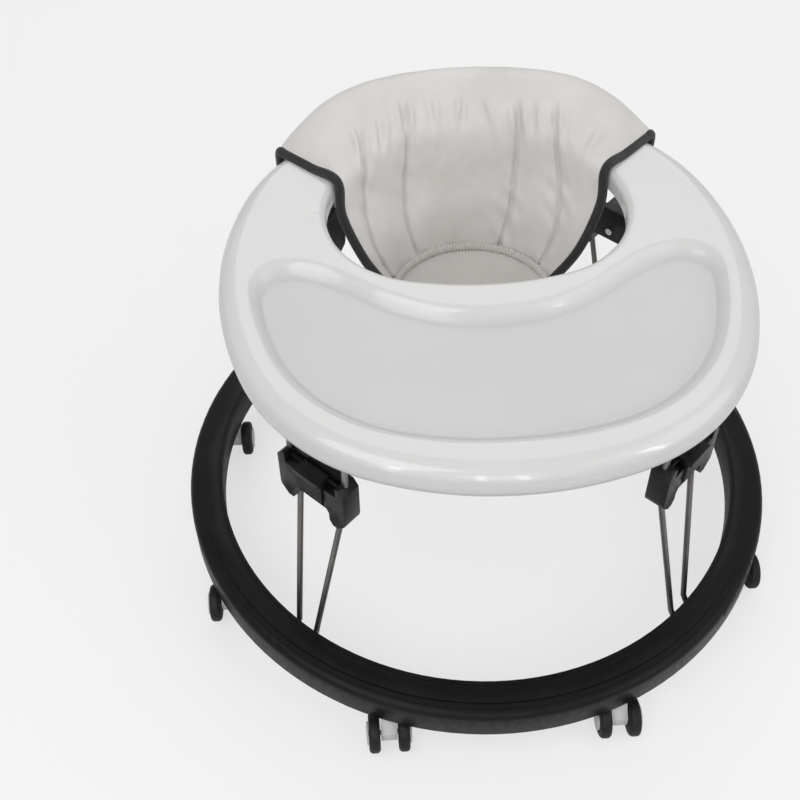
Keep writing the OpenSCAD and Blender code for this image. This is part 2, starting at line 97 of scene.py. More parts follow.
PLATE_TOP = 364.5


def edge_r(angle):
    """The table outline's distance from the middle at an angle in degrees."""
    t = math.radians(abs(((angle + 45) % 90) - 45))
    side = -SIDE_G * math.cos(t) + math.sqrt(SIDE_R ** 2 - (SIDE_G * math.sin(t)) ** 2)
    x, y = side * math.cos(t), side * math.sin(t)
    if math.degrees(math.atan2(y, x + SIDE_G)) <= SIDE_ANG:
        return side
    off = math.radians(45) - t
    far = CORNER_E * math.sqrt(2)
    return far * math.cos(off) + math.sqrt(CORNER_R ** 2 - (far * math.sin(off)) ** 2)


def smooth(t):
    t = min(1.0, max(0.0, t))
    return t * t * (3 - 2 * t)


def soft_min(a, b, k):
    h = max(0.0, k - abs(a - b)) / k
    return min(a, b) - h * h * k / 4


# ---------- mesh helpers ----------


def deselect():
    bpy.ops.object.select_all(action="DESELECT")


def chosen(piece):
    deselect()
    piece.select_set(True)
    bpy.context.view_layer.objects.active = piece


def wrapped_grid(name, columns, rows, place, close_columns=False, close_rows=False):
    """A grid of columns by rows steps, each corner moved to place(u, v), with u and v from 0 to 1."""
    deselect()
    bpy.ops.mesh.primitive_grid_add(x_subdivisions=columns, y_subdivisions=rows, size=2)
    piece = bpy.context.active_object
    piece.name = name
    piece.data.name = name
    for v in piece.data.vertices:
        u, w = (v.co.x + 1) / 2, (v.co.y + 1) / 2
        v.co = Vector(place(u, w)) * MM
    if close_columns or close_rows:
        bpy.ops.object.mode_set(mode="EDIT")
        bpy.ops.mesh.select_all(action="SELECT")
        bpy.ops.mesh.remove_doubles(threshold=1e-6)
        bpy.ops.object.mode_set(mode="OBJECT")
    bpy.ops.object.shade_smooth()
    return piece


def close_holes(piece):
    chosen(piece)
    bpy.ops.object.mode_set(mode="EDIT")
    bpy.ops.mesh.select_all(action="SELECT")
    bpy.ops.mesh.fill_holes(sides=0)
    bpy.ops.mesh.normals_make_consistent(inside=False)
    bpy.ops.object.mode_set(mode="OBJECT")


def outwards(piece):
    chosen(piece)
    bpy.ops.object.mode_set(mode="EDIT")
    bpy.ops.mesh.select_all(action="SELECT")
    bpy.ops.mesh.normals_make_consistent(inside=False)
    bpy.ops.object.mode_set(mode="OBJECT")


def flip_if_down(piece, test):
    """Turns the faces round if the one nearest a point faces away from a direction."""
    point, way = test
    face = min(piece.data.polygons, key=lambda p: (p.center - Vector(point)).length)
    if face.normal.dot(Vector(way)) < 0:
        piece.data.flip_normals()


def apply_all(piece):
    chosen(piece)
    for modifier in list(piece.modifiers):
        bpy.ops.object.modifier_apply(modifier=modifier.name)


def joined(pieces, name):
    deselect()
    for p in pieces:
        p.select_set(True)
    bpy.context.view_layer.objects.active = pieces[0]
    bpy.ops.object.join()
    piece = bpy.context.active_object
    piece.name = name
    piece.data.name = name
    return piece


def dress(piece, material):
    piece.data.materials.clear()
    piece.data.materials.append(material)


# ---------- materials ----------


class Finish:
    """A material that is put together node by node."""

    def __init__(self, name):
        self.material = bpy.data.materials.new(name)
        self.material.use_nodes = True
        self.tree = self.material.node_tree
        self.shader = self.tree.nodes["Principled BSDF"]
        self.place = self.tree.nodes.new("ShaderNodeTexCoord").outputs["Object"]

    def link(self, a, b):
        self.tree.links.new(a, b)

    def noise(self, scale, detail=2.0, rough=0.5, stretch=None):
        made = self.tree.nodes.new("ShaderNodeTexNoise")
        made.inputs["Scale"].default_value = scale
        made.inputs["Detail"].default_value = detail
        made.inputs["Roughness"].default_value = rough
        source = self.place
        if stretch:
            mapping = self.tree.nodes.new("ShaderNodeMapping")
            mapping.inputs["Scale"].default_value = stretch
            self.link(self.place, mapping.inputs["Vector"])
            source = mapping.outputs["Vector"]
        self.link(source, made.inputs["Vector"])
        return made.outputs["Fac"]

    def spread(self, value, low, high, start=0.3, end=0.7):
        made = self.tree.nodes.new("ShaderNodeMapRange")
        made.inputs["From Min"].default_value = start
        made.inputs["From Max"].default_value = end
        made.inputs["To Min"].default_value = low
        made.inputs["To Max"].default_value = high
        self.link(value, made.inputs["Value"])
        return made.outputs["Result"]

    def tint(self, value, dark, light, start=0.3, end=0.7):
        ramp = self.tree.nodes.new("ShaderNodeValToRGB")
        ramp.color_ramp.elements[0].position = start
        ramp.color_ramp.elements[1].position = end
        ramp.color_ramp.elements[0].color = (*dark, 1)
        ramp.color_ramp.elements[1].color = (*light, 1)
        self.link(value, ramp.inputs["Fac"])
        return ramp.outputs["Color"]

    def add(self, a, b, share=1.0):
        made = self.tree.nodes.new("ShaderNodeMath")
        made.operation = "MULTIPLY_ADD"
        made.inputs[1].default_value = share
        self.link(b, made.inputs[0])
        self.link(a, made.inputs[2])
        return made.outputs["Value"]

    def bump(self, height, depth, strength=1.0, under=None):
        made = self.tree.nodes.new("ShaderNodeBump")
        made.inputs["Strength"].default_value = strength
        made.inputs["Distance"].default_value = depth
        self.link(height, made.inputs["Height"])
        if under is not None:
            self.link(under, made.inputs["Normal"])
        return made.outputs["Normal"]

    def finish(self, color=None, rough=None, normal=None, **sockets):
        if color is not None:
            self.link(color, self.shader.inputs["Base Color"])
        if rough is not None:
            self.link(rough, self.shader.inputs["Roughness"])
        if normal is not None:
            self.link(normal, self.shader.inputs["Normal"])
        for key, value in sockets.items():
            self.shader.inputs[key.replace("_", " ")].default_value = value
        return self.material


SATIN_AND_SHADE_BELOW = 0.3640    # heights in metres between which the tray's duller finish and its painted shade turn into the glossy, unshaded deck
GLOSSY_UNSHADED_ABOVE = 0.3705
MIX_A, MIX_B, MIX_RESULT = 6, 7, 2      # a colour mix node's own sockets


def gloss_white():
    """Glossy moulded white, with a duller floor inside the tray that is darkened there with painted shade.
    """
    f = Finish("table_plastic")
    cloud = f.noise(6.0, 3.0)
    scuff = f.noise(30.0, 4.0, 0.55, (1.0, 0.3, 1.0))
    fine = f.noise(1100.0, 2.0)
    parts = f.tree.nodes.new("ShaderNodeSeparateXYZ")
    f.link(f.place, parts.inputs[0])
    tray = f.spread(parts.outputs["Z"], 1.0, 0.0, SATIN_AND_SHADE_BELOW, GLOSSY_UNSHADED_ABOVE)
    plain = f.tint(cloud, (0.70, 0.695, 0.69), (0.74, 0.735, 0.73))
    # painted shade: the tray floor's colour is darkened where it lies low in the recess
    tray_painted_shade = f.tint(cloud, (0.60, 0.60, 0.60), (0.64, 0.64, 0.64))
    mix = f.tree.nodes.new("ShaderNodeMix")
    mix.data_type = "RGBA"
    f.link(tray, mix.inputs["Factor"])
    f.link(plain, mix.inputs[MIX_A])
    f.link(tray_painted_shade, mix.inputs[MIX_B])
    rough = f.add(f.spread(scuff, 0.13, 0.19), tray, 0.22)
    normal = f.bump(fine, 0.00003, 0.4, f.bump(cloud, 0.0008, 0.2))
    return f.finish(mix.outputs[MIX_RESULT], rough, normal, IOR=1.5, Coat_Weight=0.5, Coat_Roughness=0.06)


def moulded(name, dark, light, rough_low, rough_high, grain=1400.0, depth=0.00004, **sockets):
    """Moulded plastic with a fine grain and slightly worn patches."""
    f = Finish(name)
    cloud = f.noise(24.0, 4.0)
    wear = f.noise(170.0, 6.0, 0.65)
    fine = f.noise(grain, 2.0)
    color = f.tint(f.add(cloud, wear, 0.35), dark, light, 0.45, 0.9)
    rough = f.spread(wear, rough_low, rough_high)
    normal = f.bump(fine, depth, 0.6)
    return f.finish(color, rough, normal, **sockets)


def wire_finish(name, dark, light):
    """Drawn wire under a thin clear coat, streaked along Z."""
    f = Finish(name)
    cloud = f.noise(40.0, 4.0)
    drawn = f.noise(700.0, 3.0, 0.6, (1.0, 1.0, 0.06))
    color = f.tint(cloud, dark, light)
    rough = f.spread(drawn, 0.28, 0.45)
    normal = f.bump(drawn, 0.00004, 0.5)
    return f.finish(color, rough, normal, Metallic=0.85, Coat_Weight=0.2, Coat_Roughness=0.2)


def steel_finish(name):
    """Bare turned steel."""
    f = Finish(name)
    turned = f.noise(1600.0, 3.0, 0.6, (1.0, 1.0, 0.2))
    cloud = f.noise(90.0, 3.0)
    color = f.tint(cloud, (0.50, 0.50, 0.52), (0.66, 0.66, 0.67))
    rough = f.spread(turned, 0.24, 0.42)
    return f.finish(color, rough, f.bump(turned, 0.00003, 0.5), Metallic=1.0)


def cloth_finish(name, dark, light, weave=0.00005, crease=0.0006):
    """Coated cloth: a fine leathery grain over a slightly uneven base."""
    f = Finish(name)
    cloud = f.noise(14.0, 4.0, 0.55)
    crumple = f.noise(46.0, 4.0, 0.6)
    cells = f.tree.nodes.new("ShaderNodeTexVoronoi")
    cells.feature = "DISTANCE_TO_EDGE"
    cells.inputs["Scale"].default_value = 780.0
    f.link(f.place, cells.inputs["Vector"])
    pores = f.spread(cells.outputs["Distance"], 0.0, 1.0, 0.0, 0.16)
    color = f.tint(f.add(cloud, crumple, 0.3), dark, light, 0.35, 0.85)
    rough = f.spread(crumple, 0.34, 0.5)
    normal = f.bump(pores, weave, 0.55, f.bump(crumple, crease, 0.35))
    return f.finish(color, rough, normal, Sheen_Weight=0.12, Sheen_Roughness=0.5)


def tape_finish(name):
    """Woven black tape, with its weave along the piece's own map."""
    f = Finish(name)
    uv = f.tree.nodes.new("ShaderNodeTexCoord").outputs["UV"]
    wave = f.tree.nodes.new("ShaderNodeTexWave")
    wave.bands_direction = "DIAGONAL"
    wave.inputs["Scale"].default_value = 160.0
    wave.inputs["Distortion"].default_value = 0.6
    f.link(uv, wave.inputs["Vector"])
    lint = f.noise(420.0, 4.0)
    color = f.tint(lint, (0.008, 0.008, 0.009), (0.022, 0.022, 0.024))
    rough = f.spread(wave.outputs["Fac"], 0.5, 0.72)
    normal = f.bump(wave.outputs["Fac"], 0.00018, 0.6, f.bump(lint, 0.0002, 0.3))
    return f.finish(color, rough, normal, Sheen_Weight=0.2, Sheen_Roughness=0.45)


TABLE_WHITE = gloss_white()
CLOTH = cloth_finish("seat_cloth", (0.655, 0.63, 0.605), (0.75, 0.73, 0.71))
SLING = cloth_finish("sling_cloth", (0.63, 0.61, 0.585), (0.72, 0.70, 0.675))
THREAD = cloth_finish("overlock_thread", (0.68, 0.66, 0.635), (0.78, 0.76, 0.735), 0.00012, 0.0003)
TAPE = tape_finish("binding_tape")
RING_BLACK = moulded("ring_black", (0.002, 0.002, 0.0022), (0.006, 0.006, 0.0065), 0.34, 0.46,
                     1100.0, 0.00006, Specular_IOR_Level=0.22)
PLATE_BLACK = moulded("plate_black", (0.012, 0.012, 0.013), (0.026, 0.026, 0.028), 0.38, 0.52)
SCREW_STEEL = steel_finish("screw_steel")
LEG_WIRE = wire_finish("leg_wire", (0.13, 0.12, 0.115), (0.20, 0.19, 0.18))
POST_WIRE = wire_finish("post_wire", (0.24, 0.235, 0.23), (0.34, 0.33, 0.32))
HEAD_BLACK = moulded("head_black", (0.005, 0.005, 0.0055), (0.012, 0.012, 0.013), 0.28, 0.40,
                     Specular_IOR_Level=0.32)
LEVER_BLACK = moulded("lever_black", (0.007, 0.007, 0.0075), (0.016, 0.016, 0.017), 0.30, 0.42,
                      Specular_IOR_Level=0.34)
CASTOR_PALE = moulded("castor_pale", (0.58, 0.58, 0.575), (0.68, 0.68, 0.675), 0.34, 0.48)
WHEEL_BLACK = moulded("wheel_black", (0.006, 0.006, 0.006), (0.015, 0.015, 0.015), 0.38, 0.56,
                      Specular_IOR_Level=0.3)
FINISHES = {
    "ring_black": RING_BLACK,
    "plate_black": PLATE_BLACK,
    "screw_steel": SCREW_STEEL,
    "table_white": TABLE_WHITE,
    "seat_cloth": CLOTH,
    "sling_cloth": SLING,
    "binding_black": TAPE,
    "leg_wire": LEG_WIRE,
    "post_wire": POST_WIRE,
    "head_black": HEAD_BLACK,
    "lever_black": LEVER_BLACK,
    "castor_pale": CASTOR_PALE,
    "wheel_black": WHEEL_BLACK,
}
node_slot = {part["node"]: part["material_slot"] for part in frame["record"]["subparts"]}


def dress_frame():
    """Gives every frame node the finish of its own slot."""
    for name, piece in nodes.items():
        for entry in piece.material_slots:
            entry.material = FINISHES[node_slot[name]]


dress_frame()

SOFT_STEPS = 2
SOFT_FROM = 35.0        # edges sharper than this, in degrees, are rounded
SMOOTH_BELOW = 32.0     # and faces that meet flatter than this are shaded as one
FLAT_WITHIN = 0.6       # faces this close to one plane are merged


def softened(name, width, body):
    """A copy of a frame node with its edges rounded, which stands for it."""
    source = nodes[name]
    piece = source.copy()
    piece.data = source.data.copy()
    piece.name = name + "_shaped"
    piece.data.name = piece.name
    piece.parent = None
    for key in list(piece.keys()):
        del piece[key]
    bpy.context.scene.collection.objects.link(piece)
    chosen(piece)
    bpy.ops.object.mode_set(mode="EDIT")
    bpy.ops.mesh.select_all(action="SELECT")
    bpy.ops.mesh.remove_doubles(threshold=1e-6)
    bpy.ops.mesh.dissolve_limited(angle_limit=math.radians(FLAT_WITHIN))
    bpy.ops.object.mode_set(mode="OBJECT")
    edge = piece.modifiers.new("edge", "BEVEL")
    edge.width = width * MM
    edge.segments = SOFT_STEPS
    edge.limit_method = "ANGLE"
    edge.angle_limit = math.radians(SOFT_FROM)
    edge.use_clamp_overlap = True
    edge.harden_normals = False
    apply_all(piece)
    chosen(piece)
    bpy.ops.object.shade_smooth_by_angle(angle=math.radians(SMOOTH_BELOW))
    dress(piece, FINISHES[node_slot[name]])
    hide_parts(name)
    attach(piece, body)
    return piece


bodies = frame["record"]["behaviour"]["bodies"]
body_of_node = {node: body for body, group in bodies.items() for node in group}
SOFT_EDGES = {"base_ring": 1.0, "leg_clamps": 0.6, "post_plates": 0.6}      # bevel widths in millimetres
for side in ("front_left", "front_right", "rear_right", "rear_left"):
    SOFT_EDGES["head_" + side] = 1.1
    SOFT_EDGES["lever_" + side] = 0.9
for number in range(1, 9):
    SOFT_EDGES["castor_%d_fork" % number] = 0.5
    SOFT_EDGES["castor_%d_wheel_left" % number] = 0.8
    SOFT_EDGES["castor_%d_wheel_right" % number] = 0.8
for node_name, edge_width in SOFT_EDGES.items():
    softened(node_name, edge_width, body_of_node[node_name])

# ---------- table ----------

SPOKES = 480            # columns of the shell's grid, round the hole
EDGE_STEPS = 8          # rows down the hole's edge
DECK_STEPS = 62         # rows over the deck and the tray
RIM_STEPS = 22          # rows round the rolled rim
RIM_LEAD = 5            # how many of those lead up to the roll
HOLE_ROUND = 10.0       # radius of the hole's upper edge
HOLE_SKIRT = 22.0       # how far the hole's edge hangs down
RIM_REACH = 34.0        # where the deck ends, in from the outline
RIM_TUCK = 0.4          # how far each row under the rim turns inwards
FRONT_REACH = 7.0       # how much further the shell's front runs out
FRONT_FROM = 40.0       # and over which stretch it does so
FRONT_OVER = 230.0
DECK_DROP = 0.6         # the deck lies this much under the rim's top
TRAY_MARGIN = 41.0      # from the outline to the tray, at the front
TRAY_SIDE_GAIN = 11.0   # how much less that is at the sides
TRAY_GAIN_POWER = 1.5
TRAY_REAR_Y = 112.0     # centre and radius of the arc that the tray's rear edge follows
TRAY_REAR_R = 178.0
TRAY_HORN_Y = 14.0      # where the tray's two horns end
TRAY_REAR_BLEND = 26.0
TRAY_HORN_BLEND = 44.0
TRAY_LEAD = 5.0         # the tray's slope starts this far outside its edge
TRAY_SLOPE = 17.0       # and is this wide
CROWN_RISE = 1.6        # the soft ridge between the tray and the hole
CROWN_R = 150.0
CROWN_SPREAD = 15.0
BOSS_R = 4.0
BOSS_HALF = 44.0        # half the distance between the two bosses over a plate
BOSS_TOP = 372.5
BISECTIONS = 36
FAR_OUT = 460.0


def in_outline(x, y):
    return math.hypot(x, y) < edge_r(math.degrees(math.atan2(y, x)))


def in_hole(x, y):
    x = abs(x)
    if math.hypot(x - HOLE_C, y - HOLE_Y) < HOLE_SIDE_R:
        return True
    if x < HOLE_FRONT_R * HOLE_C / (HOLE_FRONT_R - HOLE_SIDE_R):
        lens = abs(y - HOLE_Y) + HOLE_LENS
        return math.hypot(x, lens) < HOLE_FRONT_R
    return False


def reach(inside, angle):
    """How far a shape runs from the hole's middle in a direction."""
    low, high = 0.0, FAR_OUT
    for _ in range(BISECTIONS):
        mid = (low + high) / 2
        if inside(mid * math.cos(angle), HOLE_Y + mid * math.sin(angle)):
            low = mid
        else:
            high = mid
    return low


def border(inside):
    """Points on a border and the outward directions there."""
    points = []
    for i in range(SPOKES):
        a = 2 * math.pi * i / SPOKES
        r = reach(inside, a)
        points.append(Vector((r * math.cos(a), HOLE_Y + r * math.sin(a))))
    ways = []
    for i in range(SPOKES):
        along = points[(i + 2) % SPOKES] - points[i - 2]
        ways.append(Vector((along.y, -along.x)).normalized())
    return points, ways


def tray_depth(x, y):
    """How deep the tray lies under the deck at a place."""
    angle = math.atan2(y, x)
    margin = TRAY_MARGIN - TRAY_SIDE_GAIN * abs(math.cos(angle)) ** TRAY_GAIN_POWER
    edge = edge_r(math.degrees(angle)) - math.hypot(x, y) - margin
    inner = math.hypot(x, y - TRAY_REAR_Y) - TRAY_REAR_R
    back = TRAY_HORN_Y - y
    inside = soft_min(soft_min(edge, inner, TRAY_REAR_BLEND), back, TRAY_HORN_BLEND)
    return (TABLE_TOP - TRAY_FLOOR) * smooth((inside + TRAY_LEAD) / TRAY_SLOPE)


def deck_height(x, y):
    crown = 0.0
    if y < HOLE_Y:
        ring = math.hypot(x, y - TRAY_REAR_Y) - CROWN_R
        crown = CROWN_RISE * math.exp(-((ring / CROWN_SPREAD) ** 2))
    return TABLE_TOP - DECK_DROP + crown - tray_depth(x, y)


def table_grid():
    """The table's outer skin: down the hole's edge, over the deck and round the rim."""
    hole, hole_way = border(in_hole)
    rim, rim_way = border(in_outline)
    total = EDGE_STEPS + DECK_STEPS + RIM_STEPS
    last = RIM_STEPS - 2

    def hole_edge(i, k):
        if k < 2:
            return (*hole[i], TABLE_TOP - HOLE_SKIRT + HOLE_ROUND * k)
        a = math.radians(90.0 * (k - 2) / (EDGE_STEPS - 2))
        d = HOLE_ROUND * (1 - math.cos(a))
        top = deck_height(*(hole[i] + hole_way[i] * HOLE_ROUND))
        rise = (top - TABLE_TOP + HOLE_ROUND) * math.sin(a)
        return (*(hole[i] + hole_way[i] * d), TABLE_TOP - HOLE_ROUND + rise)

    def deck(i, k):
        inner = hole[i] + hole_way[i] * HOLE_ROUND
        outer = rim[i] - rim_way[i] * RIM_REACH
        p = inner.lerp(outer, k / DECK_STEPS)
        return (*p, deck_height(*p))

    def rolled_rim(i, k):
        if k <= RIM_LEAD:
            share = k / RIM_LEAD
            p = rim[i] - rim_way[i] * (RIM_REACH + (RIM_R - RIM_REACH) * share)
            return (*p, deck_height(*p) * (1 - share) + TABLE_TOP * share)
        if k <= last:
            a = math.radians(90.0 - 180.0 * (k - RIM_LEAD) / (last - RIM_LEAD))
            p = rim[i] - rim_way[i] * (RIM_R - RIM_R * math.cos(a))
            return (*p, TABLE_TOP - RIM_R + RIM_R * math.sin(a))
        p = rim[i] - rim_way[i] * (RIM_R + RIM_TUCK * (k - last))
        return (*p, TABLE_TOP - 2 * RIM_R)

    def place(u, v):
        i = round(u * SPOKES) % SPOKES
        k = round(v * total)
        if k <= EDGE_STEPS:
            x, y, z = hole_edge(i, k)
        elif k <= EDGE_STEPS + DECK_STEPS:
            x, y, z = deck(i, k - EDGE_STEPS)
        else:
            x, y, z = rolled_rim(i, k - EDGE_STEPS - DECK_STEPS)
        return (x, y - FRONT_REACH * smooth((-y - FRONT_FROM) / FRONT_OVER), z)

    return wrapped_grid("table_shell", SPOKES, total, place, close_columns=True)


def make_boss(corner, side):
    """A round boss that stands on a post plate, under the deck."""
    a = math.radians(corner)
    x = POST_RING_R * math.cos(a) - side * math.sin(a)
    y = POST_RING_R * math.sin(a) + side * math.cos(a)
    deselect()
    bpy.ops.mesh.primitive_cylinder_add(
        vertices=32, radius=BOSS_R * MM, depth=(BOSS_TOP - PLATE_TOP) * MM,
        location=(x * MM, y * MM, (BOSS_TOP + PLATE_TOP) / 2 * MM))
    boss = bpy.context.active_object
    bpy.ops.object.transform_apply(location=True, rotation=True, scale=True)
    return boss


def make_table():
    piece = table_grid()
    flip_if_down(piece, ((0, -0.14, TRAY_FLOOR * MM), (0, 0, 1)))
    wall = piece.modifiers.new("wall", "SOLIDIFY")
    wall.thickness = WALL * MM
    wall.offset = -1
    apply_all(piece)
    bosses = [make_boss(corner, side) for corner in CORNERS for side in (-BOSS_HALF, BOSS_HALF)]
    piece = joined([piece, *bosses], "table_shell")
    deselect()
    piece.select_set(True)
    bpy.ops.object.shade_smooth_by_angle(angle=math.radians(50))
    dress(piece, TABLE_WHITE)
    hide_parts("table_top")
    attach(piece, "table")
    return piece


make_table()

# ---------- seat ----------


RIM_SPREAD = 47         # half the angle that the back takes up on the rim, in degrees
HOLE_SPREAD = 49        # the same inside the hole
FOOT_SPREAD = 41        # and at its foot
FOOT_R = 162            # how far the foot's middle lies from the table's
FOOT_DRAW = 34          # how much nearer its ends lie
SEAM_Z = 250            # height of the seam between the back and the sling
BACK_FLAP = 34          # how far the back reaches down outside the rim
BACK_THICK = 6          # inside the hole


def spot(r, angle, z):
    a = math.radians(angle)
    return Vector((r * math.cos(a), r * math.sin(a), z))


def foot_r(u):
    return FOOT_R - FOOT_DRAW * u * u


def back_rows(u):
    """The back's section at u from -1 to 1: face and lining, as rows of radius, height and half angle."""
    e = edge_r(90 + RIM_SPREAD * u)
    h = 4 + (BACK_RISE - 4) * (1 - abs(u) ** 5)
    c, t = SOFT_GAP, TABLE_TOP
    hole_r = 180 - 6 * u * u
    low_r = 172 - 26 * u * u
    on_rim_face = ((e + c + 4, t - BACK_FLAP), (e + c + 5.5, t - 14), (e + c + 3.5, t + 0.45 * h),
                   (e - 8, t + 0.9 * h), (e - 26, t + h), (e - 46, t + 0.86 * h), (185, t + 0.4 * h))
    on_rim_lining = ((e + c, t - BACK_FLAP), (e + c, t - 14), (e + c, t + c),
                     (e - 8, t + c), (e - 26, t + c), (e - 46, t + c), (189, t + c))
    face = [(r, z, RIM_SPREAD) for r, z in on_rim_face]
    face += [(hole_r, t - 35, HOLE_SPREAD), (low_r, t - 80, HOLE_SPREAD), (foot_r(u), SEAM_Z, FOOT_SPREAD)]
    lining = [(r, z, RIM_SPREAD) for r, z in on_rim_lining]
    lining += [(hole_r + BACK_THICK, t - 35, HOLE_SPREAD), (low_r + BACK_THICK, t - 80, HOLE_SPREAD),
               (foot_r(u) + BACK_THICK, SEAM_Z, FOOT_SPREAD)]
    return face, lining


def along(rows, s):
    """A smooth line through the rows, at s from 0 to 1."""
    n = len(rows) - 1
    x = min(n - 1e-9, max(0.0, s * n))
    i = int(x)
    f = x - i
    p = [rows[min(n, max(0, i + k))] for k in (-1, 0, 1, 2)]
    out = []
    for a, b, c, d in zip(*p):
        out.append(0.5 * ((2 * b) + (c - a) * f + (2 * a - 5 * b + 4 * c - d) * f * f
                          + (3 * b - a - 3 * c + d) * f ** 3))
    return out


def along_straight(rows, s):
    """A broken line through the rows, at s from 0 to 1."""
    n = len(rows) - 1
    x = min(n - 1e-9, max(0.0, s * n))
    i = int(x)
    f = x - i
    return [a + (b - a) * f for a, b in zip(rows[i], rows[i + 1])]


SEAMS = ((-0.60, -0.78), (-0.345, -0.32), (0.41, 0.48), (0.74, 0.87))    # each seam's top and foot
SEAM_TOP = 0.645        # how far down the section the seams start
SEAM_LEAD = 0.05        # how soon they are at full depth
SEAM_DEPTH = 4.2
SEAM_WIDTH = 2.4
SEAM_PUCKER = 3.2       # how much the cloth beside a seam gathers
CHANNEL_RISE = 3.0      # how far a channel's middle stands out
PUCKERS = (-0.86, *(top for top, _ in SEAMS), 0.04, -0.48, -0.14, 0.22, 0.58)
PUCKER_AT = 0.625       # how far down the section the gathered folds lie
PUCKER_LENGTH = 0.042
PUCKER_WIDTH = 9.0
SEAM_FOLD = 5.6         # depth of a fold over a seam
FREE_FOLD = 3.4         # and between seams
HEM_AT = 0.05
HEM_DEPTH = 1.5
HEM_WIDTH = 0.011
ACROSS = 150            # scales u to roughly the millimetres across the face
BACK_COLUMNS = 300
BACK_ROUND = 170
FACE_SHARE = 0.66       # how much of the pad's round goes to its face
END_PACK = 1.15         # packs the grid's columns towards the middle


def seam_at(k, s):
    """Where seam k lies across the face, at s down the section."""
    top, foot = SEAMS[k]
    low = min(1.0, max(0.0, (s - SEAM_TOP) / (1 - SEAM_TOP)))
    return top + (foot - top) * low


def channel_form(u, s):
    """How far the face stands out of its plain form between and on the seams."""
    start = smooth((s - SEAM_TOP) / SEAM_LEAD)
    out = 0.0
    seams = [seam_at(k, s) for k in range(len(SEAMS))]
    edges = (-1.0, *seams, 1.0)
    for a, b in zip(edges, edges[1:]):
        if a <= u <= b:
            x = 2 * (u - a) / (b - a) - 1
            out += CHANNEL_RISE * (1 - x * x) * start * smooth((1.0 - s) / 0.12)
    for k, seam in enumerate(seams):
        d = (u - seam) * ACROSS
        out -= SEAM_DEPTH * math.exp(-((d / SEAM_WIDTH) ** 2)) * start
        near = math.exp(-((d / 16.0) ** 2))
        gather = math.sin(s * 95 + 2.1 * k + d * 0.2)
        out += SEAM_PUCKER * near * gather * start * noise.noise((s * 8, k * 7.3, 0.4))
    return out


def pucker_form(u, s):
    """Short gathered folds under the rolled top edge."""
    out = 0.0
    for k, seam in enumerate(PUCKERS):
        band = math.exp(-(((s - PUCKER_AT - 0.012 * math.sin(3.7 * k)) / PUCKER_LENGTH) ** 2))
        d = (u - seam - 0.8 * (s - 0.62) * math.sin(5.1 * k)) * ACROSS
        size = SEAM_FOLD if 0 < k <= len(SEAMS) else FREE_FOLD
        out += size * band * math.exp(-((d / PUCKER_WIDTH) ** 2)) * math.cos(d * 0.42 + k)
    return out


def face_point(u, s):
    """A point of the back's face, with its channels, folds, hem and unevenness."""
    face, _ = back_rows(u)
    r, z, half = along(face, s)
    p = spot(r, 90 + half * u, z)
    q = along(face, min(1.0, s + 0.01))
    o = along(face, max(0.0, s - 0.01))
    down = spot(q[0], 90 + q[2] * u, q[1]) - spot(o[0], 90 + o[2] * u, o[1])
    across = spot(r, 90 + half * (u + 0.01), z) - spot(r, 90 + half * (u - 0.01), z)
    way = down.cross(across).normalized()
    outward = way.dot(Vector((p.x, p.y, 0)))
    if (s > 0.5 and outward > 0) or (s < 0.3 and outward < 0):
        way = -way
    end = smooth((1 - abs(u)) / 0.05)
    wave = 1.6 * noise.noise((u * 4.2, s * 9.0, 1.3)) + 0.9 * noise.noise((u * 11.0, s * 20.0, 4.1))
    wave *= 0.3 + 0.7 * smooth((s - 0.5) / 0.12) + 0.5 * smooth((0.28 - s) / 0.1)
    hem = -HEM_DEPTH * math.exp(-(((s - HEM_AT) / HEM_WIDTH) ** 2))
    lift = (channel_form(u, s) + pucker_form(u, s) + wave + hem) * end
    return p + way * lift


def make_back():
    def place(u, v):
        x = 2 * u - 1
        x = math.copysign(1 - (1 - abs(x)) ** END_PACK, x)
        if v <= FACE_SHARE:
            return face_point(x, v / FACE_SHARE)
        _, lining = back_rows(x)
        s = 1 - (v - FACE_SHARE) / (1 - FACE_SHARE)
        r, z, half = along(lining, s) if s > 0.66 else along_straight(lining, s)
        return spot(r, 90 + half * x, z)

    piece = wrapped_grid("seat_back_pad", BACK_COLUMNS, BACK_ROUND, place, close_rows=True)
    close_holes(piece)
    dress(piece, CLOTH)
    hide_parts("seat_back")
    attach(piece, "table")
    return piece


SEAM_STITCHES = 44
HEM_STITCHES = 70
THREAD_R = 0.45
STITCH_SHARE = 0.34     # half a stitch's length, of the step from one to the next


def stitch_lines():
    """The lines that are sewn: down each seam, and along the hem to each side of its middle."""
    lines = []
    for k in range(len(SEAMS)):
        steps = [SEAM_TOP + 0.02 + 0.33 * i / SEAM_STITCHES for i in range(SEAM_STITCHES + 1)]
        lines.append([face_point(seam_at(k, s), s) for s in steps])
    for side in (-1, 1):
        steps = [side * (0.02 + 0.94 * i / HEM_STITCHES) for i in range(HEM_STITCHES + 1)]
        lines.append([face_point(u, HEM_AT) for u in steps])
    return lines


def make_stitch(a, b):
    """One stitch between two points: a small drawn-out bead."""
    middle = (a + b) / 2
    turn = (b - a).normalized().to_track_quat("Z", "Y").to_matrix()
    half = (b - a).length * STITCH_SHARE
    deselect()
    bpy.ops.mesh.primitive_uv_sphere_add(segments=8, ring_count=5, radius=MM)
    stitch = bpy.context.active_object
    for v in stitch.data.vertices:
        q = v.co / MM
        v.co = (middle + turn @ Vector((q.x * THREAD_R, q.y * THREAD_R, q.z * half))) * MM
    return stitch


def make_stitches():
    parts = [make_stitch(a, b) for line in stitch_lines() for a, b in zip(line, line[1:])]
    piece = joined(parts, "seat_stitches")
    deselect()
    piece.select_set(True)
    bpy.ops.object.shade_smooth()
    dress(piece, THREAD)
    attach(piece, "table")
    return piece


make_back()
make_stitches()


def bezier(a, b, c, d, t):
    s = 1 - t
    return s ** 3 * a + 3 * s * s * t * b + 3 * s * t * t * c + t ** 3 * d


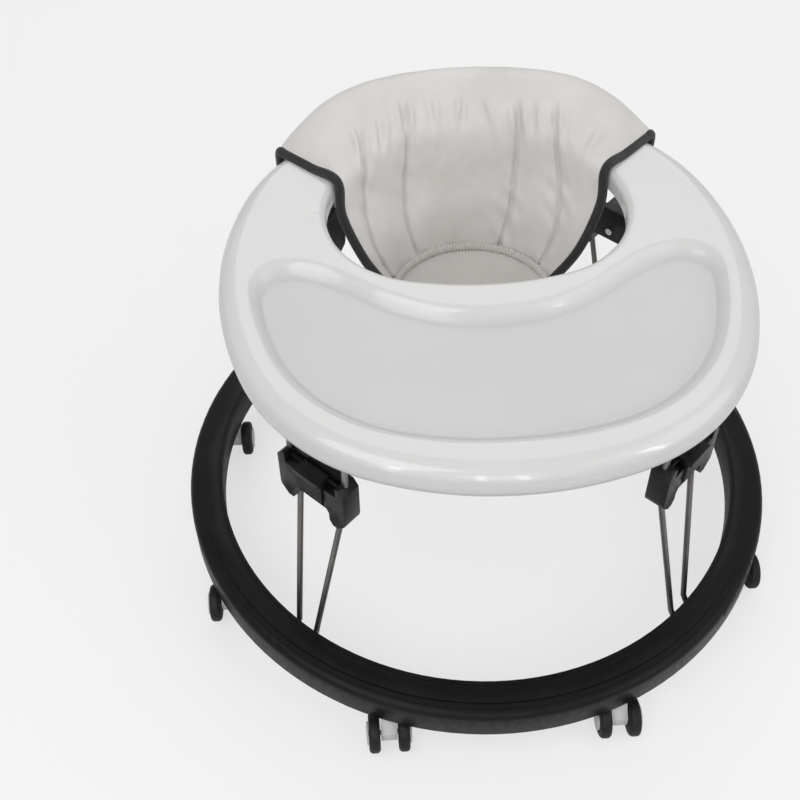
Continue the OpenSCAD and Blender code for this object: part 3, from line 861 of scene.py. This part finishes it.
SLING_FRONT_Y = HOLE_FRONT - 16         # where the sling's front end is clipped
SLING_FRONT_Z = 346
SLING_FRONT_HALF = 58
SLING_DROP = 28                         # how far the sling's line dips at each of its two inner knots
SLING_DROP_FRONT = 35
SLING_CLOTH = 1.6
SLING_COLUMNS = 110
SLING_ROWS = 150


def sling_point(t, u):
    """A point of the sling, with t from its seam to its front end and u across it from -1 to 1."""
    r = foot_r(u) + 7
    a = math.radians(90 - FOOT_SPREAD * u)
    x0, y0, z0 = r * math.cos(a), r * math.sin(a), SEAM_Z - 0.4
    x = bezier(x0, 0.75 * x0, SLING_FRONT_HALF * u, SLING_FRONT_HALF * u, t)
    y = bezier(y0, y0 - 50, SLING_FRONT_Y + 4, SLING_FRONT_Y, t)
    z = bezier(z0, z0 - SLING_DROP, z0 - SLING_DROP_FRONT, SLING_FRONT_Z, t)
    return Vector((x, y, z + 10 * u * u * math.sin(math.pi * t)))


def make_sling():
    def place(u, v):
        x = 2 * u - 1
        p = sling_point(v, x)
        inside = smooth((1 - abs(x)) / 0.1) * smooth(v / 0.05) * smooth((1 - v) / 0.08)
        broad = 1.6 * noise.noise((x * 3.0, v * 4.0, 7.7))
        fine = 0.5 * noise.noise((x * 9.0, v * 12.0, 2.2))
        p.z += inside * (broad + fine)
        return p

    piece = wrapped_grid("seat_sling_cloth", SLING_COLUMNS, SLING_ROWS, place)
    cloth = piece.modifiers.new("cloth", "SOLIDIFY")
    cloth.thickness = SLING_CLOTH * MM
    cloth.offset = 0
    apply_all(piece)
    outwards(piece)
    dress(piece, SLING)
    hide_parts("seat_sling")
    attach(piece, "table")
    return piece


make_sling()


def tube_along(name, points, rx, ry, sides=20, ribs=0.0, rib_count=0):
    """A closed tube of oval section along the points, its ends drawn in, and ribbed where asked."""
    n = len(points) - 1
    frames = []
    before = None
    for i in range(n + 1):
        way = (points[min(n, i + 1)] - points[max(0, i - 1)]).normalized()
        if before is None:
            side = way.cross(Vector((0, 0, 1)))
            if side.length < 0.1:
                side = way.cross(Vector((1, 0, 0)))
        else:
            side = before - way * before.dot(way)
        side.normalize()
        before = side
        frames.append((side, way.cross(side).normalized()))

    def place(u, v):
        i = round(v * n)
        a = 2 * math.pi * u
        end = math.sin(math.pi / 2 * min(1.0, min(v, 1 - v) * n / 3 + 0.12))
        swell = 1.0 + ribs * math.sin(2 * math.pi * rib_count * v)
        side, up = frames[i]
        return points[i] + (side * rx * math.cos(a) + up * ry * math.sin(a)) * end * swell

    piece = wrapped_grid(name, sides, n, place, close_columns=True)
    close_holes(piece)
    return piece


LINE_STEPS = 800        # how finely a smooth line is measured


def smooth_line(points, count):
    """Evenly spaced points on a smooth line through the given ones."""
    rows = [tuple(p) for p in points]
    fine = [Vector(along(rows, k / LINE_STEPS)) for k in range(LINE_STEPS + 1)]
    lengths = [0.0]
    for a, b in zip(fine, fine[1:]):
        lengths.append(lengths[-1] + (b - a).length)
    out = []
    j = 0
    for k in range(count + 1):
        target = lengths[-1] * k / count
        while j < LINE_STEPS - 1 and lengths[j + 1] < target:
            j += 1
        span = lengths[j + 1] - lengths[j]
        f = (target - lengths[j]) / span if span else 0.0
        out.append(fine[j].lerp(fine[j + 1], min(1.0, f)))
    return out


TAPE_STEPS = 150
TAPE_HALF = 5.0         # half the bound tape's width
BACK_TAPE_HALF = 4.0    # and half its thickness on the back
SLING_TAPE_HALF = 2.6   # and on the sling


def back_edge(side):
    """The line midway between face and lining, down one end of the back."""
    line = []
    for face, lining in zip(*back_rows(side)):
        a = spot(face[0], 90 + face[2] * side, face[1])
        b = spot(lining[0], 90 + lining[2] * side, lining[1])
        line.append((a + b) / 2)
    return line


def make_binding():
    """The tape over both ends of the back and both edges of the sling."""
    parts = []
    for side in (-1, 1):
        points = smooth_line(back_edge(side), TAPE_STEPS)
        parts.append(tube_along("binding_part", points, TAPE_HALF, BACK_TAPE_HALF))
        edge = [sling_point(k / 40, side) for k in range(41)]
        points = smooth_line(edge, TAPE_STEPS)
        parts.append(tube_along("binding_part", points, TAPE_HALF, SLING_TAPE_HALF))
    piece = joined(parts, "seat_binding_tape")
    dress(piece, TAPE)
    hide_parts("seat_binding")
    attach(piece, "table")
    return piece


make_binding()

SEAM_BAND_STEPS = 900
SEAM_BAND_SIDES = 14
SEAM_BAND_HALF = (2.4, 5.4)     # half its thickness and half its height
SEAM_RIBS = 62
SEAM_RIB_SWELL = 0.24
SEAM_BAND_END = 0.97            # how far along the foot it reaches each way


def make_overlock():
    """The ribbed band over the seam between the back and the sling."""
    line = []
    for k in range(61):
        u = -SEAM_BAND_END + 2 * SEAM_BAND_END * k / 60
        face, _ = back_rows(u)
        r, z, half = face[-1]
        line.append(spot(r - 0.6, 90 + half * u, z + 2.5))
    points = smooth_line(line, SEAM_BAND_STEPS)
    piece = tube_along("seat_overlock", points, *SEAM_BAND_HALF, SEAM_BAND_SIDES, SEAM_RIB_SWELL, SEAM_RIBS)
    dress(piece, THREAD)
    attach(piece, "table")
    return piece


make_overlock()

# ---------- stage ----------


FLOOR_SIZE = 12
FLOOR_Z = -0.0004
FLOOR_SEEN = 0.6        # how much of the floor that the camera sees is its own light
SKY_LIGHT = 0.50
SKY_SEEN = 0.93
AIM = Vector((0, 0, 0.25))
LAMPS = (               # name, place, width and height, power
    ("key", (-1.3, -1.2, 2.6), (1.8, 1.8), 20.0),
    ("fill", (1.9, -0.6, 1.9), (2.0, 2.0), 9.0),
    ("back", (0.2, 2.2, 2.2), (2.0, 2.0), 13.0),
    ("window_1", (-1.15, -2.0, 1.5), (0.16, 1.1), 3.2),
    ("window_2", (-0.15, -2.3, 1.6), (0.12, 1.1), 3.2),
    ("window_3", (0.35, -2.3, 1.6), (0.14, 1.1), 3.6),
    ("window_4", (1.75, -1.5, 1.5), (0.20, 1.1), 4.0),
)


def make_floor():
    """A pale floor, which looks nearly white to the camera and still takes soft shadows."""
    deselect()
    bpy.ops.mesh.primitive_plane_add(size=FLOOR_SIZE, location=(0, 0, FLOOR_Z))
    floor = bpy.context.active_object
    floor.name = "floor"
    material = bpy.data.materials.new("floor")
    material.use_nodes = True
    tree = material.node_tree
    shader = tree.nodes["Principled BSDF"]
    shader.inputs["Base Color"].default_value = (0.86, 0.86, 0.86, 1)
    shader.inputs["Roughness"].default_value = 0.9
    bright = tree.nodes.new("ShaderNodeEmission")
    bright.inputs["Color"].default_value = (1, 1, 1, 1)
    mix = tree.nodes.new("ShaderNodeMixShader")
    path = tree.nodes.new("ShaderNodeLightPath")
    share = tree.nodes.new("ShaderNodeMath")
    share.operation = "MULTIPLY"
    share.inputs[1].default_value = FLOOR_SEEN
    tree.links.new(path.outputs["Is Camera Ray"], share.inputs[0])
    tree.links.new(share.outputs["Value"], mix.inputs["Fac"])
    tree.links.new(shader.outputs["BSDF"], mix.inputs[1])
    tree.links.new(bright.outputs["Emission"], mix.inputs[2])
    tree.links.new(mix.outputs["Shader"], tree.nodes["Material Output"].inputs["Surface"])
    floor.data.materials.append(material)


def make_sky():
    """Even light from all round, which the camera sees as a pale wall."""
    world = bpy.data.worlds.new("studio")
    bpy.context.scene.world = world
    world.use_nodes = True
    sky = world.node_tree
    back = sky.nodes["Background"]
    back.inputs["Color"].default_value = (1, 1, 1, 1)
    back.inputs["Strength"].default_value = SKY_LIGHT
    seen = sky.nodes.new("ShaderNodeBackground")
    seen.inputs["Color"].default_value = (SKY_SEEN, SKY_SEEN, SKY_SEEN, 1)
    seen.inputs["Strength"].default_value = 1.0
    choice = sky.nodes.new("ShaderNodeMixShader")
    ray = sky.nodes.new("ShaderNodeLightPath")
    sky.links.new(ray.outputs["Is Camera Ray"], choice.inputs["Fac"])
    sky.links.new(back.outputs["Background"], choice.inputs[1])
    sky.links.new(seen.outputs["Background"], choice.inputs[2])
    sky.links.new(choice.outputs["Shader"], sky.nodes["World Output"].inputs["Surface"])


def make_lamps():
    for name, place, size, power in LAMPS:
        data = bpy.data.lights.new(name, "AREA")
        data.shape = "RECTANGLE"
        data.size, data.size_y = size
        data.energy = power
        lamp = bpy.data.objects.new(name, data)
        lamp.location = place
        lamp.rotation_euler = (AIM - Vector(place)).to_track_quat("-Z", "Y").to_euler()
        bpy.context.scene.collection.objects.link(lamp)


make_floor()
make_sky()
make_lamps()
bpy.context.scene.view_settings.view_transform = "Standard"
bpy.context.view_layer.update()
